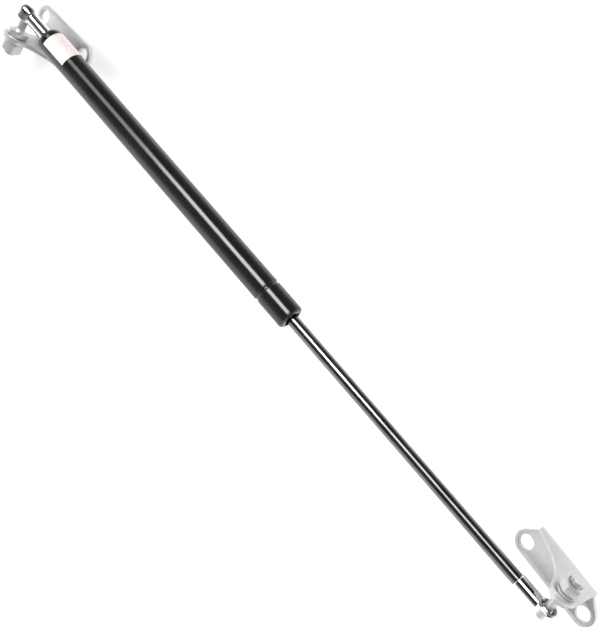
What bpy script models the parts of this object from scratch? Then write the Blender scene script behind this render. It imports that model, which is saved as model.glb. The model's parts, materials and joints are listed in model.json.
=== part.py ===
"""Gas strut stay: a sealed gas spring with a ball joint and an angle bracket at each end.

Metres, +Z up. The strut's axis lies along +X, from the cylinder's ball joint to the rod's.
The part rests on the surface z = 0, and its origin is under the middle of its outer box.
"""

import math

import bmesh
import bpy
from mathutils import Matrix, Vector

MM = 0.001
GAP = 0.3 * MM  # between pieces that touch

# Strut, measured along its axis from the centre of the cylinder's ball
BALL_TO_BALL = 508 * MM
STROKE = 190 * MM
DEAD_LENGTH = 70.5 * MM  # what the end plug, the piston and the seals take up
TUBE_START = 22.5 * MM
TUBE_LENGTH = STROKE + DEAD_LENGTH
TUBE_R = 9 * MM
TUBE_WALL = 1.2 * MM
TUBE_END_ROUND = 5.5 * MM
TUBE_MOUTH_ROUND = 2.4 * MM
TUBE_MOUTH_R = 5.6 * MM
GROOVE_FROM_MOUTH = 24.8 * MM
GROOVE_DEPTH = 0.9 * MM
GROOVE_HALF = 1.6 * MM
TUBE_END_WALL = 1.6 * MM
TUBE_END_SLOPE = 3 * MM
PLUG_LENGTH = 4 * MM
PLUG_SLOPE = 3.2 * MM
SEAL_WASHER_THICK = 1.2 * MM
SEAL_LENGTH = 5 * MM
GUIDE_CHAMFER = 0.6 * MM
ROD_R = 4 * MM
ROD_THREAD_R = 3 * MM
ROD_TO_BALL = 22.3 * MM  # from the rod's shoulder to its ball's centre
THREAD_IN_SOCKET = 12 * MM
THREAD_CHAMFER = 0.5 * MM
SPIGOT_R = 2.6 * MM
RIVET_R = 4 * MM
RIVET_LENGTH = 2.4 * MM
RIVET_CONE = 0.8 * MM
PISTON_LENGTH = 8 * MM
PISTON_WASHER_THICK = 1.5 * MM
PISTON_WASHER_LESS = 0.6 * MM  # how far its edge stays from the tube's clearance
PISTON_RING_FROM_FACE = 2.5 * MM
PISTON_RING_DEPTH = 1.8 * MM
PISTON_RING_PROUD = 0.15 * MM
LABEL_START = 7.6 * MM  # after the closed end
LABEL_LENGTH = 21.3 * MM
LABEL_THICK = 0.25 * MM
LABEL_OFF = 0.05 * MM
LABEL_TURN = math.radians(170)
LABEL_MIDDLE = math.radians(50)  # from +Y towards +Z

# Ball joints
BALL_R = 5 * MM
BALL_FLAT = 4 * MM  # from the centre to the flat where the stud starts
POCKET_R = BALL_R + GAP
HEAD_R = 6.9 * MM
HEAD_BACK = 6.9 * MM
HEAD_FRONT = 4 * MM
HEAD_LIP = 0.8 * MM
HEAD_ROUND = 5.2 * MM
SHANK_R = 4.7 * MM
SNAP_WIRE_R = 0.5 * MM
SNAP_RING_R = 5.05 * MM
SNAP_RING_AT = 2.9 * MM
SNAP_RING_OPEN = math.radians(50)

# Ball studs, measured from the ball's centre towards the nut
NECK_R = 3 * MM
STUD_R = 4 * MM
STUD_CHAMFER = 0.8 * MM
HEX_START = 13 * MM
HEX_ACROSS = 13 * MM
PLATE_FACE = 17 * MM  # the ball's centre to the stud flange's inner face
WASHER_R = 7.2 * MM
WASHER_THICK = 1.4 * MM
NUT_HEIGHT = 6.2 * MM
NUT_CORNER_DROP = 0.7 * MM
NUT_FACE_SHARE = 1.03  # the face circle's radius over half the width across the flats
STUD_END = 30.8 * MM

# Angle brackets, both alike. Local X runs along the bend from the stud's axis to the far end,
# Y from the stud flange's inner face towards the ball, Z from the mounting flange's inner face.
SHEET = 3 * MM
BEND_IN_R = 1.5 * MM
STUD_HEIGHT = 23.8 * MM
FLANGE_NEAR = -9.3 * MM
FLANGE_FAR = 38.5 * MM
EAR_R = 9.3 * MM
MOUNT_HOLES_X = (-12.2 * MM, 38.8 * MM)
MOUNT_HOLE_Y = 14 * MM
MOUNT_HOLE_R = 4.9 * MM
LOBE_R = 8 * MM
CUT_PAST = 1 * MM  # how far cutters run past the sheet
EAR_END_ANGLE = 15  # degrees above the bend's direction, where the ear turns down
FOOT_RUN = 3 * MM
FOOT_RISE = 4.6 * MM
FOOT_END_RISE = 3.4 * MM
FOOT_BASE = 1 * MM
SWEEP_DOWN = Vector((3.1, -11.6)) * MM
SWEEP_BACK = Vector((-13.2, 4.8)) * MM
SWEEP_STEPS = 10
STUD_HOLE_R = STUD_R + GAP

# How each end lies: the stud's direction turned about the strut from +Y towards +Z, its lean
# from square towards the strut's middle, and the bracket's swivel about the stud.
TUBE_END = {"turn": math.radians(-142), "lean": math.radians(8), "swivel": math.radians(11)}
ROD_END = {"turn": math.radians(46), "lean": math.radians(3), "swivel": math.radians(-11)}

TUBE_END_X = TUBE_START + TUBE_LENGTH
ROD_SHOULDER_X = BALL_TO_BALL - ROD_TO_BALL
FINE = 40
MEDIUM = 28
COARSE = 20
HOLE_STEPS = 24
AXES = {"X": (Vector((1, 0, 0)), Vector((0, 0, 1))), "Y": (Vector((0, 1, 0)), Vector((1, 0, 0)))}


def clear_scene():
    for obj in list(bpy.data.objects):
        bpy.data.objects.remove(obj, do_unlink=True)


def finish(name, color, metallic, roughness):
    material = bpy.data.materials.new(name)
    material.use_nodes = True
    shader = material.node_tree.nodes["Principled BSDF"]
    shader.inputs["Base Color"].default_value = (*color, 1)
    shader.inputs["Metallic"].default_value = metallic
    shader.inputs["Roughness"].default_value = roughness
    return material


def add_object(name, bm, material, parent):
    """Turns a bmesh into an object of its parent's frame, shaded smooth but for sharp edges."""
    mesh = bpy.data.meshes.new(name)
    bmesh.ops.recalc_face_normals(bm, faces=bm.faces)
    bm.to_mesh(mesh)
    bm.free()
    mesh.shade_smooth()
    mesh.set_sharp_from_angle(angle=math.radians(30))
    obj = bpy.data.objects.new(name, mesh)
    bpy.context.scene.collection.objects.link(obj)
    if material:
        mesh.materials.append(material)
    obj.parent = parent
    return obj


def add_empty(name, matrix, parent=None):
    empty = bpy.data.objects.new(name, None)
    bpy.context.scene.collection.objects.link(empty)
    empty.empty_display_size = 0.02
    empty.parent = parent
    empty.matrix_local = matrix
    return empty


def arc(along, radius, size, start, end, steps):
    """Points of an arc round (along, radius), from one angle in degrees to another."""
    angles = [math.radians(start + (end - start) * i / steps) for i in range(steps + 1)]
    return [(along + size * math.cos(a), radius + size * math.sin(a)) for a in angles]


def turned_mesh(outline, steps, axis="X", sweep=2 * math.pi):
    """Spins a closed outline of (along, radius) points about a local axis."""
    ahead, out = AXES[axis]
    bm = bmesh.new()
    verts = [bm.verts.new(ahead * along + out * radius) for along, radius in outline]
    edges = [
        bm.edges.new((verts[i - 1], verts[i]))
        for i in range(len(outline))
        if outline[i - 1][1] + outline[i][1] > 0  # an edge along the axis has nothing to sweep
    ]
    whole = sweep > 2 * math.pi - 1e-6
    bmesh.ops.spin(bm, geom=verts + edges, axis=ahead, angle=sweep, steps=steps, use_merge=whole)
    bmesh.ops.remove_doubles(bm, verts=bm.verts, dist=1e-7)
    if not whole:
        bmesh.ops.holes_fill(bm, edges=bm.edges, sides=0)
    return bm


def turned(name, outline, steps, material, parent, axis="X"):
    return add_object(name, turned_mesh(outline, steps, axis), material, parent)


def prism_mesh(outline, plane, low, high):
    """Extrudes a closed outline of two local coordinates along the third one."""
    place = {
        "XY": lambda a, b, h: (a, b, h),
        "XZ": lambda a, b, h: (a, h, b),
        "YZ": lambda a, b, h: (h, a, b),
    }[plane]
    bm = bmesh.new()
    face = bm.faces.new([bm.verts.new(place(a, b, low)) for a, b in outline])
    side = bmesh.ops.extrude_face_region(bm, geom=[face])
    moved = [item for item in side["geom"] if isinstance(item, bmesh.types.BMVert)]
    bmesh.ops.translate(bm, verts=moved, vec=place(0, 0, high - low))
    return bm


def boolean(obj, cutter_mesh, operation, parent):
    name = f"{obj.name}_{operation.lower()}_{len(obj.modifiers)}"
    cutter = add_object(name, cutter_mesh, None, parent)
    cutter.hide_render = True
    cutter.display_type = "WIRE"
    modifier = obj.modifiers.new(cutter.name, "BOOLEAN")
    modifier.operation = operation
    modifier.solver = "EXACT"
    modifier.object = cutter


def ring_outline(start, end, inner, outer, chamfer=0.0):
    """A ring's cross-section, with its two outer corners chamfered if asked."""
    if not chamfer:
        return [(start, inner), (end, inner), (end, outer), (start, outer)]
    outline = [(start, inner), (end, inner), (end, outer - chamfer), (end - chamfer, outer)]
    return outline + [(start + chamfer, outer), (start, outer - chamfer)]


def hexagon(across, per_side):
    """Points round a hexagon, with the same number along each side."""
    turns = [math.radians(60 * i) for i in range(7)]
    corners = [Vector((math.cos(turn), math.sin(turn))) for turn in turns]
    size = across / math.sqrt(3)
    points = []
    for first, second in zip(corners, corners[1:]):
        points += [first.lerp(second, i / per_side) * size for i in range(per_side)]
    return points


def hex_ring(name, start, end, across, hole_r, material, parent):
    """A hexagonal ring along local -Y, its outer corners chamfered."""
    outer = hexagon(across, 4)
    limit = across / 2 * NUT_FACE_SHARE
    chamfered = [point * min(1.0, limit / point.length) for point in outer]
    hole = [point.normalized() * hole_r for point in outer]
    levels = [(start, hole), (start, chamfered), (start + NUT_CORNER_DROP, outer)]
    levels += [(end - NUT_CORNER_DROP, outer), (end, chamfered), (end, hole)]
    bm = bmesh.new()
    loops = [[bm.verts.new((p.x, -at, p.y)) for p in points] for at, points in levels]
    count = len(outer)
    for first, second in zip(loops, loops[1:] + loops[:1]):
        for i in range(count):
            j = (i + 1) % count
            bm.faces.new((first[i], first[j], second[j], second[i]))
    return add_object(name, bm, material, parent)


# ---- The strut ----


def cylinder_tube(material, parent):
    """A drawn tube, closed to a hole at one end and rolled in over the rod guide at the other."""
    inner = TUBE_R - TUBE_WALL
    end_hole = ROD_THREAD_R + GAP
    end_inside = TUBE_START + TUBE_END_WALL
    round_x = TUBE_END_X - TUBE_MOUTH_ROUND
    round_r = TUBE_R - TUBE_MOUTH_ROUND
    groove_x = TUBE_END_X - GROOVE_FROM_MOUTH
    groove_r = (GROOVE_HALF**2 + GROOVE_DEPTH**2) / (2 * GROOVE_DEPTH)
    swing = math.degrees(math.asin(GROOVE_HALF / groove_r))
    centre = TUBE_R - GROOVE_DEPTH + groove_r
    outline = arc(TUBE_START + TUBE_END_ROUND, TUBE_R - TUBE_END_ROUND, TUBE_END_ROUND, 180, 90, 6)
    outline += arc(groove_x, centre, groove_r, 270 - swing, 270 + swing, 4)
    outline += arc(round_x, round_r, TUBE_MOUTH_ROUND, 90, 0, 4)
    outline += [(TUBE_END_X, TUBE_MOUTH_R), (TUBE_END_X - TUBE_WALL, TUBE_MOUTH_R)]
    outline += [(TUBE_END_X - TUBE_WALL, inner)]
    outline += arc(groove_x, centre - TUBE_WALL, groove_r, 270 + swing, 270 - swing, 4)
    outline += [(TUBE_START + TUBE_END_ROUND, inner), (end_inside, inner - TUBE_END_SLOPE)]
    outline += [(end_inside, end_hole), (TUBE_START, end_hole)]
    return turned("cylinder_tube", outline, FINE, material, parent)


def end_plug(material, parent):
    """The plug welded in the closed end, with the threaded stud that carries the ball socket."""
    tip = TUBE_START - THREAD_IN_SOCKET
    back = TUBE_START + TUBE_END_WALL + GAP
    seat = TUBE_START + TUBE_END_ROUND + GAP
    face = seat + PLUG_LENGTH
    r = TUBE_R - TUBE_WALL - GAP
    outline = [(tip, 0), (tip, ROD_THREAD_R - THREAD_CHAMFER), (tip + THREAD_CHAMFER, ROD_THREAD_R)]
    outline += [(back, ROD_THREAD_R), (back, r - PLUG_SLOPE), (seat, r), (face, r), (face, 0)]
    return turned("end_plug", outline, MEDIUM, material, parent)


def seal_pack(steel, rubber, bronze, parent):
    """The support washer, lip seal and guide bush that the rod slides in, from groove to mouth."""
    bore = ROD_R + GAP
    outer = TUBE_R - TUBE_WALL - GAP
    washer_start = TUBE_END_X - GROOVE_FROM_MOUTH + GROOVE_HALF + GAP
    washer_end = washer_start + SEAL_WASHER_THICK
    seal_start = washer_end + GAP
    seal_end = seal_start + SEAL_LENGTH
    guide_end = TUBE_END_X - TUBE_WALL - GAP
    washer = ring_outline(washer_start, washer_end, bore, outer)
    turned("seal_washer", washer, MEDIUM, steel, parent)
    heel = outer - 2 * MM
    lip = [(seal_start, heel), (seal_start + 1.5 * MM, heel), (seal_start + 2.5 * MM, bore + 1.2 * MM)]
    lip += [(seal_start + 0.4 * MM, bore), (seal_end, bore), (seal_end, outer), (seal_start, outer)]
    turned("rod_seal", lip, MEDIUM, rubber, parent)
    guide = ring_outline(seal_end + GAP, guide_end, bore, outer, GUIDE_CHAMFER)
    turned("rod_guide", guide, MEDIUM, bronze, parent)


def label(material, parent):
    """A paper label wrapped part of the way round the tube."""
    start = TUBE_START + LABEL_START
    inner = TUBE_R + LABEL_OFF
    outline = ring_outline(start, start + LABEL_LENGTH, inner, inner + LABEL_THICK)
    bm = turned_mesh(outline, COARSE, sweep=LABEL_TURN)
    first_side = LABEL_MIDDLE - math.pi / 2 - LABEL_TURN / 2
    bmesh.ops.rotate(bm, verts=bm.verts, matrix=Matrix.Rotation(first_side, 3, "X"))
    return add_object("label", bm, material, parent)


def piston_group(rubber, steel, plastic, rod_finish, ring_parent, rod_parent):
    """The rod with its spigot and thread, the piston between two washers, and the piston's ring."""
    groove_x = TUBE_END_X - GROOVE_FROM_MOUTH
    front = groove_x - GROOVE_HALF - GAP  # at full reach the front washer meets the tube's bead
    washer_back = front - PISTON_WASHER_THICK
    piston_front = washer_back - GAP
    piston_back = piston_front - PISTON_LENGTH
    rear_front = piston_back - GAP
    rear_back = rear_front - PISTON_WASHER_THICK
    rivet_back = rear_back - RIVET_LENGTH
    outer = TUBE_R - TUBE_WALL - GAP
    bore = SPIGOT_R + GAP
    tip = ROD_SHOULDER_X + THREAD_IN_SOCKET
    rod = [(rivet_back, 0), (rivet_back, SPIGOT_R), (rivet_back + RIVET_CONE, RIVET_R)]
    rod += [(rear_back - GAP, RIVET_R), (rear_back - GAP, SPIGOT_R), (front, SPIGOT_R), (front, ROD_R)]
    rod += [(ROD_SHOULDER_X - GAP, ROD_R), (ROD_SHOULDER_X, ROD_R - GAP)]
    rod += [(ROD_SHOULDER_X, ROD_THREAD_R), (tip - THREAD_CHAMFER, ROD_THREAD_R)]
    rod += [(tip, ROD_THREAD_R - THREAD_CHAMFER), (tip, 0)]
    turned("piston_rod", rod, MEDIUM, rod_finish, rod_parent)
    washer_r = outer - PISTON_WASHER_LESS
    for name, start, end in (
        ("piston_washer_front", washer_back, front - GAP),
        ("piston_washer_rear", rear_back, rear_front),
    ):
        turned(name, ring_outline(start, end, bore, washer_r), MEDIUM, steel, rod_parent)
    side = outer - GAP
    ring_front = piston_front - PISTON_RING_FROM_FACE
    ring_back = piston_back + PISTON_RING_FROM_FACE
    groove_r = outer - PISTON_RING_DEPTH
    piston = [(piston_back, bore), (piston_front, bore), (piston_front, side), (ring_front, side)]
    piston += [(ring_front, groove_r), (ring_back, groove_r), (ring_back, side), (piston_back, side)]
    turned("piston", piston, MEDIUM, plastic, rod_parent)
    proud = outer + PISTON_RING_PROUD
    ring = ring_outline(ring_back + GAP, ring_front - GAP, groove_r + GAP, proud)
    turned("piston_ring", ring, MEDIUM, rubber, ring_parent)


# ---- The ball joints ----


def ball_socket(name, chrome, steel, parent):
    """A socket whose shank runs along +X and whose mouth opens along +Y, with its snap ring."""
    head = [(-HEAD_BACK, 0)]
    head += arc(-HEAD_BACK + HEAD_ROUND, HEAD_R - HEAD_ROUND, HEAD_ROUND, 180, 90, 5)
    head += [(HEAD_FRONT - HEAD_LIP, HEAD_R), (HEAD_FRONT, HEAD_R - HEAD_LIP), (HEAD_FRONT, 0)]
    socket = turned(name + "_socket", head, MEDIUM, chrome, parent, axis="Y")
    shank_end = TUBE_START - GAP
    shank = [(0, 0), (0, SHANK_R), (shank_end - THREAD_CHAMFER, SHANK_R)]
    shank += [(shank_end, SHANK_R - THREAD_CHAMFER), (shank_end, 0)]
    boolean(socket, turned_mesh(shank, MEDIUM), "UNION", parent)
    ring_half = SNAP_WIRE_R + GAP
    groove_out = SNAP_RING_R + SNAP_WIRE_R + GAP
    pocket_end = HEAD_FRONT + 2 * MM
    pocket = [(-POCKET_R, 0)] + arc(0, 0, POCKET_R, 170, 90, 6)
    pocket += [(SNAP_RING_AT - ring_half, POCKET_R), (SNAP_RING_AT - ring_half, groove_out)]
    pocket += [(SNAP_RING_AT + ring_half, groove_out), (SNAP_RING_AT + ring_half, POCKET_R)]
    pocket += [(pocket_end, POCKET_R), (pocket_end, 0)]
    boolean(socket, turned_mesh(pocket, MEDIUM, axis="Y"), "DIFFERENCE", parent)
    bore_end = TUBE_START + 2 * MM
    bore_r = ROD_THREAD_R + GAP
    bore_start = TUBE_START - THREAD_IN_SOCKET - GAP
    bore = [(bore_start, 0), (bore_start, bore_r), (bore_end, bore_r), (bore_end, 0)]
    boolean(socket, turned_mesh(bore, COARSE), "DIFFERENCE", parent)
    snap_ring(name + "_snap_ring", steel, parent)


def snap_ring(name, material, parent):
    """An open ring of round wire in the pocket's mouth, which keeps the ball in."""
    wire = arc(SNAP_RING_AT, SNAP_RING_R, SNAP_WIRE_R, 0, 315, 7)
    bm = turned_mesh(wire, COARSE, axis="Y", sweep=2 * math.pi - SNAP_RING_OPEN)
    add_object(name, bm, material, parent)


def ball(name, material, parent):
    """The ball, with a flat where its stud starts, along local -Y."""
    flat_angle = math.degrees(math.asin(math.sqrt(BALL_R**2 - BALL_FLAT**2) / BALL_R))
    outline = [(-BALL_FLAT, 0)] + arc(0, 0, BALL_R, 180 - flat_angle, 0, 12)
    outline[-1] = (BALL_R, 0)
    turned(name + "_ball", outline, MEDIUM, material, parent, axis="Y")


def ball_stud(name, material, parent):
    """The stud: neck, hexagon and the thread that passes through the stud flange."""
    hex_end = PLATE_FACE - GAP
    neck_start = BALL_FLAT + GAP
    thread_start = (HEX_START + hex_end) / 2
    outline = [(-neck_start, 0), (-neck_start, NECK_R), (-thread_start, NECK_R), (-thread_start, STUD_R)]
    outline += [(-STUD_END + STUD_CHAMFER, STUD_R), (-STUD_END, STUD_R - STUD_CHAMFER), (-STUD_END, 0)]
    stud = turned(name + "_ball_stud", outline[::-1], COARSE, material, parent, axis="Y")
    grip = [(p.x, p.y) for p in hexagon(HEX_ACROSS, 1)]
    boolean(stud, prism_mesh(grip, "XZ", -hex_end, -HEX_START), "UNION", parent)


def stud_fasteners(name, zinc, parent):
    washer_start = PLATE_FACE + SHEET + GAP
    washer_end = washer_start + WASHER_THICK
    nut = (washer_end + GAP, washer_end + GAP + NUT_HEIGHT)
    washer = ring_outline(-washer_end, -washer_start, STUD_HOLE_R, WASHER_R)
    turned(name + "_stud_washer", washer, MEDIUM, zinc, parent, axis="Y")
    hex_ring(name + "_stud_nut", *nut, HEX_ACROSS, STUD_HOLE_R, zinc, parent)


# ---- The angle brackets ----


def tangent_lobe(corner_x, corner_y, side):
    """The plan outline's end: from the bend's corner, tangent to the arc round a mounting hole."""
    hole_x = MOUNT_HOLES_X[0] if side < 0 else MOUNT_HOLES_X[1]
    to_hole = Vector((hole_x - corner_x, MOUNT_HOLE_Y - corner_y))
    spread = math.degrees(math.acos(LOBE_R / to_hole.length))
    back = math.degrees(math.atan2(-to_hole.y, -to_hole.x))
    start = back + side * spread
    end = 90
    while side > 0 and start > end:
        start -= 360
    while side < 0 and start < end:
        start += 360
    return arc(hole_x, MOUNT_HOLE_Y, LOBE_R, start, end, 10)


def ear_outline(low, high):
    """The stud flange's side view: an ear round the stud that sweeps down to a low edge."""
    ear = arc(0, STUD_HEIGHT, EAR_R, 180, EAR_END_ANGLE, 10)
    start = Vector(ear[-1])
    foot = Vector((FLANGE_FAR - FOOT_RUN, FOOT_RISE))
    turn_in = start + SWEEP_DOWN
    turn_out = foot + SWEEP_BACK
    sweep = []
    for i in range(1, SWEEP_STEPS + 1):
        t = i / SWEEP_STEPS
        s = 1 - t
        sweep.append(start * s**3 + turn_in * 3 * s * s * t + turn_out * 3 * s * t * t + foot * t**3)
    below = -SHEET - CUT_PAST
    outline = [(low, FOOT_BASE), (FLANGE_NEAR, FOOT_BASE)] + ear + [tuple(point) for point in sweep]
    outline += [(FLANGE_FAR, FOOT_END_RISE), (FLANGE_FAR, FOOT_BASE), (high, FOOT_BASE)]
    return outline + [(high, below), (low, below)]


def bracket(name, zinc, parent):
    """A bent sheet angle: a mounting flange with two screw holes and a flange that holds the stud."""
    low = MOUNT_HOLES_X[0] - 2 * LOBE_R
    high = MOUNT_HOLES_X[1] + 2 * LOBE_R
    wide = MOUNT_HOLE_Y + LOBE_R + CUT_PAST
    tall = STUD_HEIGHT + EAR_R + CUT_PAST
    below = -SHEET - CUT_PAST
    shift = Matrix.Translation((0, -PLATE_FACE, -STUD_HEIGHT))

    def placed(bm):
        bmesh.ops.transform(bm, matrix=shift, verts=bm.verts)
        return bm

    section = [(-SHEET, tall)] + arc(BEND_IN_R, BEND_IN_R, BEND_IN_R + SHEET, 180, 270, 6)
    section += [(wide, -SHEET), (wide, 0)]
    section += arc(BEND_IN_R, BEND_IN_R, BEND_IN_R, 270, 180, 4) + [(0, tall)]
    obj = add_object(name + "_bracket", placed(prism_mesh(section, "YZ", low, high)), zinc, parent)
    plan = [(FLANGE_NEAR, BEND_IN_R), (FLANGE_NEAR, below), (FLANGE_FAR, below), (FLANGE_FAR, BEND_IN_R)]
    plan += tangent_lobe(FLANGE_FAR, BEND_IN_R, 1) + tangent_lobe(FLANGE_NEAR, BEND_IN_R, -1)[::-1]
    boolean(obj, placed(prism_mesh(plan, "XY", below, tall + CUT_PAST)), "INTERSECT", parent)
    ear = ear_outline(low, high)
    boolean(obj, placed(prism_mesh(ear, "XZ", below, wide + CUT_PAST)), "INTERSECT", parent)
    last = 360 - 360 / HOLE_STEPS
    for hole_x in MOUNT_HOLES_X:
        hole = arc(hole_x, MOUNT_HOLE_Y, MOUNT_HOLE_R, 0, last, HOLE_STEPS - 1)
        boolean(obj, placed(prism_mesh(hole, "XY", below, CUT_PAST)), "DIFFERENCE", parent)
    stud_hole = arc(0, STUD_HEIGHT, STUD_HOLE_R, 0, last, HOLE_STEPS - 1)
    boolean(obj, placed(prism_mesh(stud_hole, "XZ", below, CUT_PAST)), "DIFFERENCE", parent)


def frame_of(x_axis, y_axis, place):
    """A frame from its X and Y axes and its origin."""
    z_axis = x_axis.cross(y_axis)
    matrix = Matrix((x_axis, y_axis, z_axis)).transposed().to_4x4()
    matrix.translation = place
    return matrix


def joint_frames(place, inward, lie):
    """The socket's frame, and the frame of the stud and bracket, at one end of the strut."""
    mouth = Vector((0, math.cos(lie["turn"]), math.sin(lie["turn"])))
    stud = mouth * math.cos(lie["lean"]) + inward * math.sin(lie["lean"])
    square = inward * math.cos(lie["lean"]) - mouth * math.sin(lie["lean"])
    along = Matrix.Rotation(lie["swivel"], 3, stud) @ square
    return frame_of(inward, mouth, place), frame_of(along, -stud, place)


def stand_on_surface(root):
    """Moves the whole part so that it rests on z = 0, with its box centred on the origin."""
    bpy.context.view_layer.update()
    graph = bpy.context.evaluated_depsgraph_get()
    corners = []
    for obj in bpy.data.objects:
        if obj.type == "MESH" and not obj.hide_render:
            evaluated = obj.evaluated_get(graph)
            corners += [evaluated.matrix_world @ vert.co for vert in evaluated.data.vertices]
    low = Vector([min(c[i] for c in corners) for i in range(3)])
    high = Vector([max(c[i] for c in corners) for i in range(3)])
    root.location = (-(low.x + high.x) / 2, -(low.y + high.y) / 2, -low.z)
    bpy.context.view_layer.update()


def main():
    clear_scene()
    black = finish("black_paint", (0.01, 0.01, 0.011), 0.0, 0.25)
    rod_black = finish("rod_nitride", (0.06, 0.06, 0.065), 1.0, 0.2)
    chrome = finish("chrome", (0.85, 0.86, 0.87), 1.0, 0.06)
    zinc = finish("zinc", (0.74, 0.75, 0.76), 1.0, 0.35)
    steel = finish("steel", (0.5, 0.5, 0.51), 1.0, 0.35)
    bronze = finish("bronze", (0.55, 0.38, 0.17), 1.0, 0.4)
    rubber = finish("rubber", (0.02, 0.02, 0.02), 0.0, 0.6)
    plastic = finish("piston_plastic", (0.1, 0.12, 0.16), 0.0, 0.5)
    paper = finish("label_paper", (0.9, 0.88, 0.87), 0.0, 0.5)

    root = add_empty("gas_strut_stay", Matrix.Identity(4))
    rod_axis = add_empty("rod_axis", Matrix.Identity(4), root)
    cylinder_tube(black, root)
    end_plug(steel, root)
    seal_pack(steel, rubber, bronze, root)
    label(paper, root)
    piston_group(rubber, steel, plastic, rod_black, root, rod_axis)

    ends = (
        ("tube", Vector((0, 0, 0)), Vector((1, 0, 0)), TUBE_END),
        ("rod", Vector((BALL_TO_BALL, 0, 0)), Vector((-1, 0, 0)), ROD_END),
    )
    for name, place, inward, lie in ends:
        socket_frame, stud_frame = joint_frames(place, inward, lie)
        socket_empty = add_empty(name + "_socket_frame", socket_frame, root)
        stud_empty = add_empty(name + "_joint_frame", stud_frame, root)
        ball_socket(name, chrome, steel, socket_empty)
        ball(name, steel, stud_empty)
        ball_stud(name, zinc, stud_empty)
        stud_fasteners(name, zinc, stud_empty)
        bracket(name, zinc, stud_empty)
    stand_on_surface(root)


main()
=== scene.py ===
"""The looks of a gas strut stay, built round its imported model.

Metres, +Z up. The strut runs along +X, from the cylinder's ball joint to the rod's.
"""

import json
import math

import bpy
from mathutils import Matrix, Vector


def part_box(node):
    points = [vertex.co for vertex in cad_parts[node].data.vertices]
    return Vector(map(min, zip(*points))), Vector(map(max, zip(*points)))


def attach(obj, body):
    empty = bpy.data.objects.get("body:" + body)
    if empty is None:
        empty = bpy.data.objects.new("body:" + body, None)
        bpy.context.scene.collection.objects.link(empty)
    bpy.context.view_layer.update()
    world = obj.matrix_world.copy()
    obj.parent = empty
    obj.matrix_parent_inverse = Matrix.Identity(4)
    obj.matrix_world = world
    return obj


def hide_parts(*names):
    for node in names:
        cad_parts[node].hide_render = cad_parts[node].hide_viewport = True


MM = 0.001

# Strut, from the centre of the cylinder's ball to the centre of the rod's
CYLINDER_START = 22.5 * MM
CYLINDER_LENGTH = 260.5 * MM
CYLINDER_R = 9 * MM
CYLINDER_WALL = 1.2 * MM
CLOSED_END_ROUND = 5.5 * MM
CLOSED_END_WALL = 1.6 * MM
CLOSED_END_SLOPE = 3 * MM
MOUTH_ROUND = 2.4 * MM
MOUTH_R = 5.6 * MM
GROOVE_FROM_MOUTH = 23.9 * MM
GROOVE_DEPTH = 0.75 * MM
GROOVE_HALF = 1.4 * MM
LABEL_START = 7.6 * MM
LABEL_LENGTH = 21.3 * MM
LABEL_LIFT = 0.06 * MM
LABEL_THICK = 0.12 * MM
LABEL_TURN = math.radians(170)
LABEL_MIDDLE = math.radians(50)
ROD_R = 4 * MM
ROD_THREAD_R = 3 * MM
ROD_SPIGOT_R = 2.6 * MM
RIVET_ROUND = 0.6 * MM
ROD_TO_BALL = 22.3 * MM
THREAD_IN_SOCKET = 12 * MM

# Ball joints
BALL_R = 5 * MM
POCKET_R = 5.3 * MM
HEAD_R = 6.9 * MM
HEAD_FRONT = 4 * MM
HEAD_ROUND = 5.2 * MM
HEAD_CHAMFER = 0.8 * MM
SHANK_R = 4.7 * MM
SHANK_CHAMFER = 0.5 * MM
BALL_FLAT = 0.8  # of the ball's radius
SNAP_WIRE_R = 0.5 * MM
SNAP_RING_R = 5.05 * MM
SNAP_RING_AT = 2.9 * MM
SNAP_RING_TURN = math.radians(310)

# Studs and what is on them, from the ball's centre towards the nut
NECK_START = 4.3 * MM
NECK_R = 3 * MM
NECK_FLARE = 1.5 * MM
COLLAR_R = NECK_R + 1.2 * MM
HEX_START = 13 * MM
HEX_END = 16.7 * MM
HEX_ACROSS = 13 * MM
STUD_R = 4 * MM
STUD_END = 30.8 * MM
STUD_PITCH = 1.25 * MM
THREAD_START = HEX_END + 1.2 * MM
THREAD_LEAD = 0.9 * MM
PLATE_FACE = 17 * MM
WASHER_R = 7.2 * MM
WASHER_THICK = 1.4 * MM
WASHER_SLIT = 0.7 * MM
NUT_HEIGHT = 6.2 * MM
NUT_BEVEL = 0.7 * MM

# Brackets: X along the bend, Y towards the ball, Z from the mounting flange's inner face
SHEET = 3 * MM
BEND_IN_R = 1.5 * MM
STUD_HEIGHT = 23.8 * MM
FLANGE_NEAR = -9.3 * MM
FLANGE_FAR = 38.5 * MM
EAR_R = 9.3 * MM
SCREW_HOLES = (-12.2 * MM, 38.8 * MM)
SCREW_HOLE_Y = 14 * MM
SCREW_HOLE_R = 4.9 * MM
LOBE_R = 8 * MM

# Between pieces that touch on the real strut
GAP = 0.3 * MM

# Facets round a lathe-turned piece
FINE = 128
ROUND = 64

# Rows of small print on the label: height of a row, length of a mark, share of marks printed
RED_PRINT = {"Row": 2.1 * MM, "Mark": 0.8 * MM, "Fill": 0.6}
GREY_PRINT = {"Row": 1.4 * MM, "Mark": 0.7 * MM, "Fill": 0.5}

# The camera: its lens, its place from the cylinder's ball and the directions of its axes
LENS = 63.16
SENSOR = 36
CAMERA_AT = Vector((450.7, -131.9, 643.0)) * MM
CAMERA_RIGHT = Vector((0.6363, 0.7714, 0))
CAMERA_BACK = Vector((0.2467, -0.2035, 0.9475))


# ---- Working by hand: one piece selected, edited and placed at a time ----


def pick(piece):
    bpy.ops.object.select_all(action="DESELECT")
    piece.select_set(True)
    bpy.context.view_layer.objects.active = piece


def added(name):
    """Names the primitive just added and opens it in edit mode, selected all over."""
    piece = bpy.context.active_object
    piece.name = name
    bpy.ops.object.mode_set(mode="EDIT")
    bpy.ops.mesh.select_all(action="SELECT")
    return piece


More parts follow.
